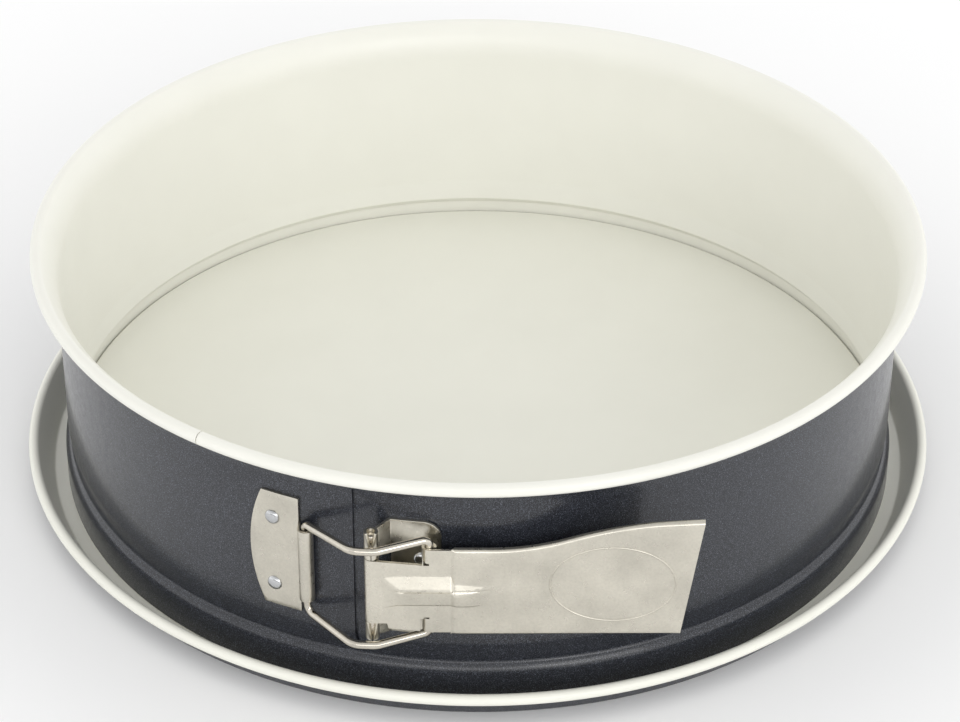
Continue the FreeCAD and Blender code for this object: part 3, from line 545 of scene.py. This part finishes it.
def thicken(piece):
    """Give the surface in a sheet's middle its thickness and slightly rounded edges."""
    shell = piece.modifiers.new("sheet", "SOLIDIFY")
    shell.thickness = STRAP * MM
    shell.offset = 0.0
    shell.use_even_offset = True
    soften = piece.modifiers.new("edges", "BEVEL")
    soften.width = EDGE * MM
    soften.segments = 2
    soften.limit_method = "ANGLE"
    soften.angle_limit = math.radians(50)
    soften.harden_normals = False


def along_path(points, lengths, length):
    """The point on a polyline at a given length."""
    for a, b, start, end in zip(points, points[1:], lengths, lengths[1:]):
        if length <= end or b == points[-1]:
            t = (length - start) / (end - start)
            return (a[0] + (b[0] - a[0]) * t, a[1] + (b[1] - a[1]) * t)


def measure(points):
    """Cumulative lengths along a polyline."""
    lengths = [0.0]
    for a, b in zip(points, points[1:]):
        lengths.append(lengths[-1] + math.dist(a, b))
    return lengths


KEEPER_LOW, KEEPER_HIGH = 25.2, 65.0       # lower and upper end of the keeper's plate
KNUCKLE_LOW, KNUCKLE_HIGH = 31.8, 56.5     # lower and upper end of its knuckle
KEEPER_CROWN = 4.2                         # how far the plate's rounded edge bulges


def make_keeper():
    """The keeper: a plate bent to the wall, whose narrower strip curls round the bail's bar."""
    middle = WALL + SHEET + SEAT + STRAP / 2
    right, left = -7.3, -14.3
    curl = WIRE + 0.25 + STRAP / 2
    wall = [at_bearing(b, middle, 0).xy for b in spread(left, right - 0.5, 0.3)]
    outward = math.degrees(math.atan2(BAR_PLACE.y, BAR_PLACE.x))
    rise = [tuple(at_bearing(right, middle + 0.12, 0).xy)]
    coil = arc(BAR_PLACE, curl, outward - 82, outward + 215, 12)
    path = [tuple(p) for p in wall] + rise + coil
    lengths = measure(path)
    plate_end = lengths[len(wall)]
    half, mid = (KEEPER_HIGH - KEEPER_LOW) / 2, (KEEPER_LOW + KEEPER_HIGH) / 2
    radius = (half ** 2 + KEEPER_CROWN ** 2) / (2 * KEEPER_CROWN)

    def limits(length):
        """The plate's lower and upper edge at a length from the tip of its rounded edge."""
        if length >= KEEPER_CROWN:
            return KEEPER_LOW, KEEPER_HIGH
        reach = math.sqrt(max(radius ** 2 - (radius - length) ** 2, 0.0))
        return mid - min(reach, half), mid + min(reach, half)

    def place(length, row):
        """Rows 0 to 1 are the knuckle's strip, and the plate goes on below and above them."""
        low, high = limits(length)
        if row < 0:
            height = KNUCKLE_LOW + (KNUCKLE_LOW - low) * row
        elif row > 1:
            height = KNUCKLE_HIGH + (high - KNUCKLE_HIGH) * (row - 1)
        else:
            height = KNUCKLE_LOW + (KNUCKLE_HIGH - KNUCKLE_LOW) * row
        height = min(high, max(low, height))
        x, y = along_path(path, lengths, length)
        return Vector((x, y, height))

    rows = joined((-1, 0, 0.25), (0, 1, 0.1), (1, 2, 0.2))
    ends = [KEEPER_CROWN * t * t for t in spread(0.0, 1.0, 0.1)]
    columns = ends + [length for length in lengths if length > KEEPER_CROWN + 0.1]
    bm = bmesh.new()
    grid(bm, columns, rows, place, lambda c, r: c < plate_end or 0 < r < 1)
    piece = new_piece("keeper", bm, (PLATE,), "left_arm", ["keeper_plate"], SHARP)
    thicken(piece)


def make_bracket():
    """The hinge bracket: a plate on the wall and two ears that run out to knuckles round the pin. Each
    knuckle is open in front in the shape of a V."""
    middle = WALL + SHEET + SEAT + STRAP / 2
    left, right = 4.2, 4.2 + 6.63
    curl = PIN + 0.03 + STRAP / 2
    wall = [tuple(at_bearing(b, middle, 0).xy) for b in spread(right, left + 0.6, 0.3)]
    corner = at_bearing(left + 0.25, middle, 0).xy
    towards = (corner - PIN_PLACE).normalized()
    ear_end = PIN_PLACE + towards * curl
    bend = rounded([(wall[-2][0], wall[-2][1], 0), (wall[-1][0], wall[-1][1], 0), (corner.x, corner.y, 1.0),
                    (ear_end.x, ear_end.y, 0)], 12)[1:]
    path = wall[:-1] + bend
    lengths = measure(path)
    plate_end = lengths[len(wall) + 1]
    low, high, cut = 24.4, 64.0, 4.5
    upper_ear, lower_ear = 54.8, 32.4
    dish_place, dish_reach, dish_depth = (1.2, high - 1.2), 3.6, 0.5

    def limits(length):
        """The plate's lower and upper edge at a length from its tip, with its corners rounded by cut."""
        trim = cut - math.sqrt(cut * cut - (cut - length) ** 2) if length < cut else 0.0
        rise = between(length, plate_end, lengths[-1])
        return low + trim + 2.0 * rise, high - trim - 0.4 * rise

    def place(length, row):
        """Rows 0 to 1 lie between the ears, which are the rows below and above. The corner is dished."""
        bottom, top = limits(length)
        if row < 0:
            height = lower_ear + (lower_ear - bottom) * row
        elif row > 1:
            height = upper_ear + (top - upper_ear) * (row - 1)
        else:
            height = lower_ear + (upper_ear - lower_ear) * row
        x, y = along_path(path, lengths, length)
        share = max(0.0, 1 - math.dist((length, height), dish_place) / dish_reach) ** 0.7
        return Vector((x, y, height)) + Vector((x, y, 0)).normalized() * (dish_depth * share)

    rows = joined((-1, 0, 0.2), (0, 1, 0.1), (1, 2, 0.06))
    columns = [cut * t * t for t in spread(0, 1, 0.09)] + [x for x in lengths if x > cut + 0.1]
    bm = bmesh.new()
    grid(bm, columns, rows, place, lambda c, r: c < plate_end or not 0 < r < 1)

    front = math.degrees(LEVER_ANGLE) - 90
    for side in (-1, 1):
        for bottom, closed, top in ((upper_ear, 58.9, 63.6), (26.4, 26.8, lower_ear)):

            def knuckle(share, height):
                """One side of a knuckle, from the V that opens above closed to the back."""
                gap = 3 + 42 * max(0.0, (height - closed) / (top - closed))
                angle = math.radians(front + side * (gap + (180 - gap) * share))
                return round_pin(curl, angle, height)

            grid(bm, spread(0, 1, 0.07), spread(bottom, top, 0.5), knuckle)
    piece = new_piece("bracket", bm, (PLATE,), "right_arm", ["hinge_bracket"], SHARP)
    thicken(piece)


def make_rivets():
    """Domed heads outside, flat tails inside the pan. A rivet's place is a bearing and a height."""
    keeper, bracket = -11.0, 8.4
    places = {"keeper_rivet_upper": (keeper, 56.3, "left_arm"),
              "keeper_rivet_lower": (keeper, 32.8, "left_arm"),
              "bracket_rivet_upper": (bracket, 51.0, "right_arm"),
              "bracket_rivet_lower": (bracket, 36.0, "right_arm")}
    seat, top = STRAP + 2 * SEAT, STRAP + 2 * SEAT + 1.1
    tail_seat, tail_end = -SHEET - SEAT, -SHEET - 0.45
    head_reach, tail_reach, shank = 2.3, 1.9, 1.25
    head = rounded([(0, top, 0), (0.7, top, 1.6), (1.9, seat + 0.72, 1.2), (head_reach, seat + 0.1, 0.3),
                    (head_reach, seat, 0)], 12)
    tail = rounded([(shank, seat, 0), (shank, tail_seat, 0), (tail_reach, tail_seat, 0),
                    (tail_reach, tail_end, 0.25), (0, tail_end, 0)], 12)
    for node, (bearing, height, body) in places.items():
        out = at_bearing(bearing, 1, 0)
        side = Vector((-out.y, out.x, 0))
        centre = at_bearing(bearing, WALL + SHEET, height)

        def place(angle, reach, lift):
            """The rivet's own axis points out of the wall."""
            a = math.radians(angle)
            return centre + out * lift + side * (reach * math.cos(a)) + Vector((0, 0, reach * math.sin(a)))

        bm = bmesh.new()
        lathe(bm, [(0, head + tail)], 0, 360, ROUND, place)
        new_piece(node.replace("rivet", "domed_rivet"), bm, (RIVET,), body, [node])


# ---------- latch ----------

# On the lever, u is the distance from the pin along it, and z the height.
NOTCH_LOW, NOTCH_HIGH = 13.5, 14.5     # where the slits that free the sleeves start, below and above
SLEEVE = 16.1                          # axis of the sleeves for the bail's tips
NECK_HIGH, SHOULDER = 54.6, 58.4       # height of the upper edge before the slit, and after it
HOLLOW_START, HOLLOW = 33, 67.3        # start and radius of the upper edge's hollow curve
FULL_START, FULL = 55, 116.7           # start and radius of its full curve
FULL_PLACE = (93.2, -48.2)             # centre of the full curve
FULL_END, FULL_HEIGHT = 85, 68.26      # where the full curve runs into the straight end, and its height
LEVER_LOW = 29.5                       # height of the lower edge beyond the slits
LEVER_TIP = 92.7                       # reach of the upper corner
LEVER_SLANT = 78                       # where the columns start to lean over to the slanting end


def lever_top(u):
    """The lever's upper edge: level, a hollow curve, a full curve, and straight."""
    if u < NOTCH_HIGH:
        return NECK_HIGH - 1.4 * max(u, 0) / 14
    if u <= HOLLOW_START:
        return SHOULDER
    if u <= FULL_START:
        return SHOULDER + HOLLOW - math.sqrt(HOLLOW ** 2 - (u - HOLLOW_START) ** 2)
    if u <= FULL_END:
        return FULL_PLACE[1] + math.sqrt(FULL ** 2 - (FULL_PLACE[0] - u) ** 2)
    return FULL_HEIGHT + 0.54 * (u - FULL_END) / (LEVER_TIP - FULL_END)


def lever_low(u):
    """The lever's lower edge: the barrel's end, the neck up to the slit, and the rest."""
    if u < 4.6:
        return 32.6
    if u < NOTCH_HIGH:
        return 30.8 - 0.9 * (u - 4.6) / 9
    return LEVER_LOW + 0.5 * between(u, 23, 86.9)


def rib_relief(u, z):
    """How far the pressed rib stands out: a facet slopes out from its upper edge to a ridge, and its front
    falls back from the ridge to a small step. A groove runs just below the ridge."""
    ridge, facet_slope, full_lift = 45.4, 0.46, 1.85
    top = 49.0 + 0.5 * between(u, 3.0, 6.8) - 2.5 * between(u, 22.0, 23.2) - 0.7 * between(u, 23.2, 33.8)
    foot = 38.3 + 0.9 * between(u, 3.6, 7.9) + 0.7 * between(u, 28, 32)
    if z >= top or z <= foot:
        return 0.0
    lift = full_lift * min(1.0, max(0.0, (u - 2.8) / 5.0)) * (1 - between(u, 23, 34.5))
    front = lift * (0.22 + 0.78 * (z - foot) / (ridge - foot)) * between(z, foot, foot + 0.4)
    groove = 0.45 * lift * max(0.0, 1 - abs(z - ridge + 0.5) / 0.5) * between(u, 6, 9)
    return min(facet_slope * (top - z), front - groove)


def add_oval(bm, place):
    """A plain raised oval line on the wide part: a bead half sunk in the sheet. place(u, z, out) gives
    the point that stands out from the sheet's face."""
    count, sides, bead, sunk = 120, 10, 0.34, 0.12
    centre_u, centre_z, half_u, half_z = 67.5, 47.3, 17.6, 12.8
    rings = []
    for i in range(count):
        a = 2 * math.pi * i / count
        middle = Vector((centre_u + half_u * math.cos(a), centre_z + half_z * math.sin(a)))
        across = Vector((half_z * math.cos(a), half_u * math.sin(a))).normalized()
        ring = []
        for k in range(sides):
            b = 2 * math.pi * k / sides
            u, z = middle + across * (bead * math.cos(b))
            ring.append(bm.verts.new(place(u, z, bead * math.sin(b) - sunk)))
        rings.append(ring)
    for here, after in zip(rings, rings[1:] + rings[:1]):
        for k in range(sides):
            m = (k + 1) % sides
            bm.faces.new((here[k], here[m], after[m], after[k]))


def make_lever():
    """The pressed lever: barrel, flat part with a rib and two sleeves, and a stepped wide part with folded
    edges. Its sheet is one surface over u and a row. Rows 0 to 1 run up the middle, -1 is the lower edge and
    2 the upper one, and the rows past those fold back."""
    step, fold, fold_low = 0.65, 0.8, 0.48
    flange, flange_low = 0.45, 1.6
    wide_start, wide_full = 22.4, 23.4
    slant_foot, slant_reach = 86.9, LEVER_TIP - 86.9
    barrel = PIN + 0.07 + STRAP / 2
    mid_low, mid_high = 34.8, 53.1
    sleeve_low, sleeve_high = 34.2, 53.8

    def front(u, z):
        """How far the sheet's middle lies out from the pin's axis."""
        return barrel + step * between(u, 22.0, 23.7) + rib_relief(u, z)

    def level(u, row, wide):
        """The height of a row, and how far it is folded back. wide goes from 0 to 1 as the folds begin."""
        top, low = lever_top(min(u, LEVER_TIP)), lever_low(u)
        if row < 0:
            height = mid_low + (mid_low - low - fold_low * wide) * max(row, -1)
            turn = math.radians(90 * min(max(-1 - row, 0), 1))
            back = fold_low * wide * (1 - math.cos(turn)) + flange_low * wide * max(-2 - row, 0)
            return height - fold_low * wide * math.sin(turn), back
        if row > 1:
            height = mid_high + (top - mid_high - fold * wide) * min(row - 1, 1)
            turn = math.radians(90 * min(max(row - 2, 0), 1))
            back = fold * wide * (1 - math.cos(turn)) + flange * wide * max(row - 3, 0)
            return height + fold * wide * math.sin(turn), back
        return mid_low + (mid_high - mid_low) * row, 0.0

    def place(u, row):
        """The barrel takes the columns below 0, whose u is a turn in degrees."""
        if u < 0:
            angle = math.radians(90 - u)
            return on_latch(barrel * math.cos(angle), barrel * math.sin(angle), level(0, row, 0)[0])
        height, back = level(u, row, between(u, wide_start, wide_full))
        if u > LEVER_SLANT:
            edge = slant_foot + slant_reach * (height - 30) / 39.6
            u = LEVER_SLANT + (u - LEVER_SLANT) / 10 * (edge - LEVER_SLANT)
        return on_latch(u, front(u, height) - back, height)

    def keep(u, row):
        """Leave out the slits beside the sleeves, and the folds before the wide part."""
        if row < -1 or row > 2:
            return u > wide_start
        if row < 0:
            return u < NOTCH_LOW or u > SLEEVE or (row > low_slit and u < 14.4)
        if row > 1:
            return u < NOTCH_HIGH or u > SLEEVE
        return True

    def sleeve(turn, row):
        """The strip beyond a slit, curled round the bail's tip."""
        angle = math.radians(90 + turn)
        height = level(SLEEVE, row, 0)[0]
        return on_latch(SLEEVE + barrel * math.cos(angle), barrel * math.sin(angle), height)

    low_slit = (sleeve_low - mid_low) / (mid_low - lever_low(SLEEVE))
    high_slit = 1 + (sleeve_high - mid_high) / (lever_top(SLEEVE) - mid_high)
    lower = spread(-1, low_slit, 0.11)
    upper = spread(high_slit, 2, 0.08)
    columns = joined((-300, 0, 12), (0, 4.6, 0.4), (4.6, NOTCH_LOW, 0.35), (NOTCH_LOW, NOTCH_HIGH, 0.35),
                     (NOTCH_HIGH, SLEEVE, 0.4), (SLEEVE, 21.8, 0.4), (21.8, 24.0, 0.15), (24.0, 36, 0.45),
                     (36, 48, 0.8), (48, LEVER_SLANT, 0.5), (LEVER_SLANT, LEVER_SLANT + 10, 0.5))
    rows = joined((-3, -2, 0.5), (-2, -1, 0.2), (-1, low_slit, 0.11), (low_slit, 0, 1), (0, 1, 0.0145),
                  (1, high_slit, 1), (high_slit, 2, 0.08), (2, 3, 0.125), (3, 4, 0.5))
    bm = bmesh.new()
    grid(bm, columns, rows, place, keep)
    for span in (lower, upper):
        grid(bm, spread(0, 290, 12), span, sleeve)
    piece = new_piece("lever", bm, (PLATE,), "lever", ["latch_lever"], SHARP)
    thicken(piece)
    bm = bmesh.new()
    add_oval(bm, lambda u, z, out: on_latch(u, front(u, z) + STRAP / 2 + out, z))
    new_piece("lever_oval_line", bm, (PLATE,), "lever", ["latch_lever"], SHARP)


def make_pin():
    """The hinge pin, with rounded ends."""
    low, high, radius = 27.0, 62.4, PIN - 0.02
    outline = rounded([(0, high, 0), (radius, high, 0.3), (radius, low, 0.3), (0, low, 0)], 15)
    bm = bmesh.new()
    lathe(bm, [(0, outline)], 0, 360, ROUND,
          lambda angle, reach, height: round_pin(reach, math.radians(angle), height))
    new_piece("pin", bm, (PIN_METAL,), "right_arm", ["hinge_pin"])


def sweep_wire(points, radius, sides=24):
    """A round wire along points, with domed ends."""
    bm = bmesh.new()
    normal = None
    rings = []
    dome = [(math.sin(math.radians(a)), math.cos(math.radians(a))) for a in (25, 50, 75)]
    for i, here in enumerate(points):
        before, after = points[max(i - 1, 0)], points[min(i + 1, len(points) - 1)]
        ahead = (after - before).normalized()
        if normal is None:
            normal = ahead.orthogonal().normalized()
        normal = (normal - ahead * normal.dot(ahead)).normalized()
        across = ahead.cross(normal)
        reaches = [(0.0, 1.0)]
        if i == 0:
            reaches = [(-shift, share) for shift, share in reversed(dome)] + reaches
        if i == len(points) - 1:
            reaches += dome
        for shift, share in reaches:
            ring = []
            for k in range(sides):
                a = 2 * math.pi * k / sides
                spoke = normal * math.cos(a) + across * math.sin(a)
                ring.append(bm.verts.new(here + ahead * (shift * radius * 0.6) + spoke * (radius * share)))
            rings.append(ring)
    for here, after in zip(rings, rings[1:]):
        for k in range(sides):
            m = (k + 1) % sides
            bm.faces.new((here[k], here[m], after[m], after[k]))
    bm.faces.new(rings[0])
    bm.faces.new(rings[-1])
    return bm


def bend_path(points, radii, step=6.0):
    """Straight runs joined by arcs, in space."""
    out = [points[0]]
    for before, corner, after, radius in zip(points, points[1:], points[2:], radii):
        back = (before - corner).normalized()
        ahead = (after - corner).normalized()
        half = back.angle(ahead) / 2
        centre = corner + (back + ahead).normalized() * (radius / math.sin(half))
        first = corner + back * (radius / math.tan(half)) - centre
        last = corner + ahead * (radius / math.tan(half)) - centre
        turn = first.angle(last)
        axis = first.cross(last)
        count = max(3, math.ceil(math.degrees(turn) / step))
        for k in range(count + 1):
            out.append(centre + Matrix.Rotation(turn * k / count, 3, axis) @ first)
    out.append(points[-1])
    return out


def make_bail():
    """One bent wire: a bar in the keeper's knuckle, two arms and two tips that hook into the lever. An arm
    has three heights: at the bar, over the pin and at its tip."""
    def arm(bar_height, middle, tip, tip_end):
        """The arm's corners, from the bar to the tip's end in its sleeve."""
        return [BAR_PLACE.to_3d() + Vector((0, 0, bar_height)), on_latch(-5.6, 3.4, middle),
                on_latch(1.2, 3.8, middle), on_latch(SLEEVE, 0, tip), on_latch(SLEEVE, 0, tip_end)]

    points = arm(58.2, 59.2, 60.9, 54.6)[::-1] + arm(27.5, 26.1, 28.1, 33.6)
    path = bend_path(points, [1.8, 6, 6, 1.8, 2.8, 6, 6, 1.8])
    bm = sweep_wire(path, WIRE)
    new_piece("bail", bm, (BRIGHT_WIRE,), "bail", ["bail_wire"])


make_camera()
make_studio()
make_base()
make_ring()
make_keeper()
make_bracket()
make_rivets()
make_lever()
make_pin()
make_bail()
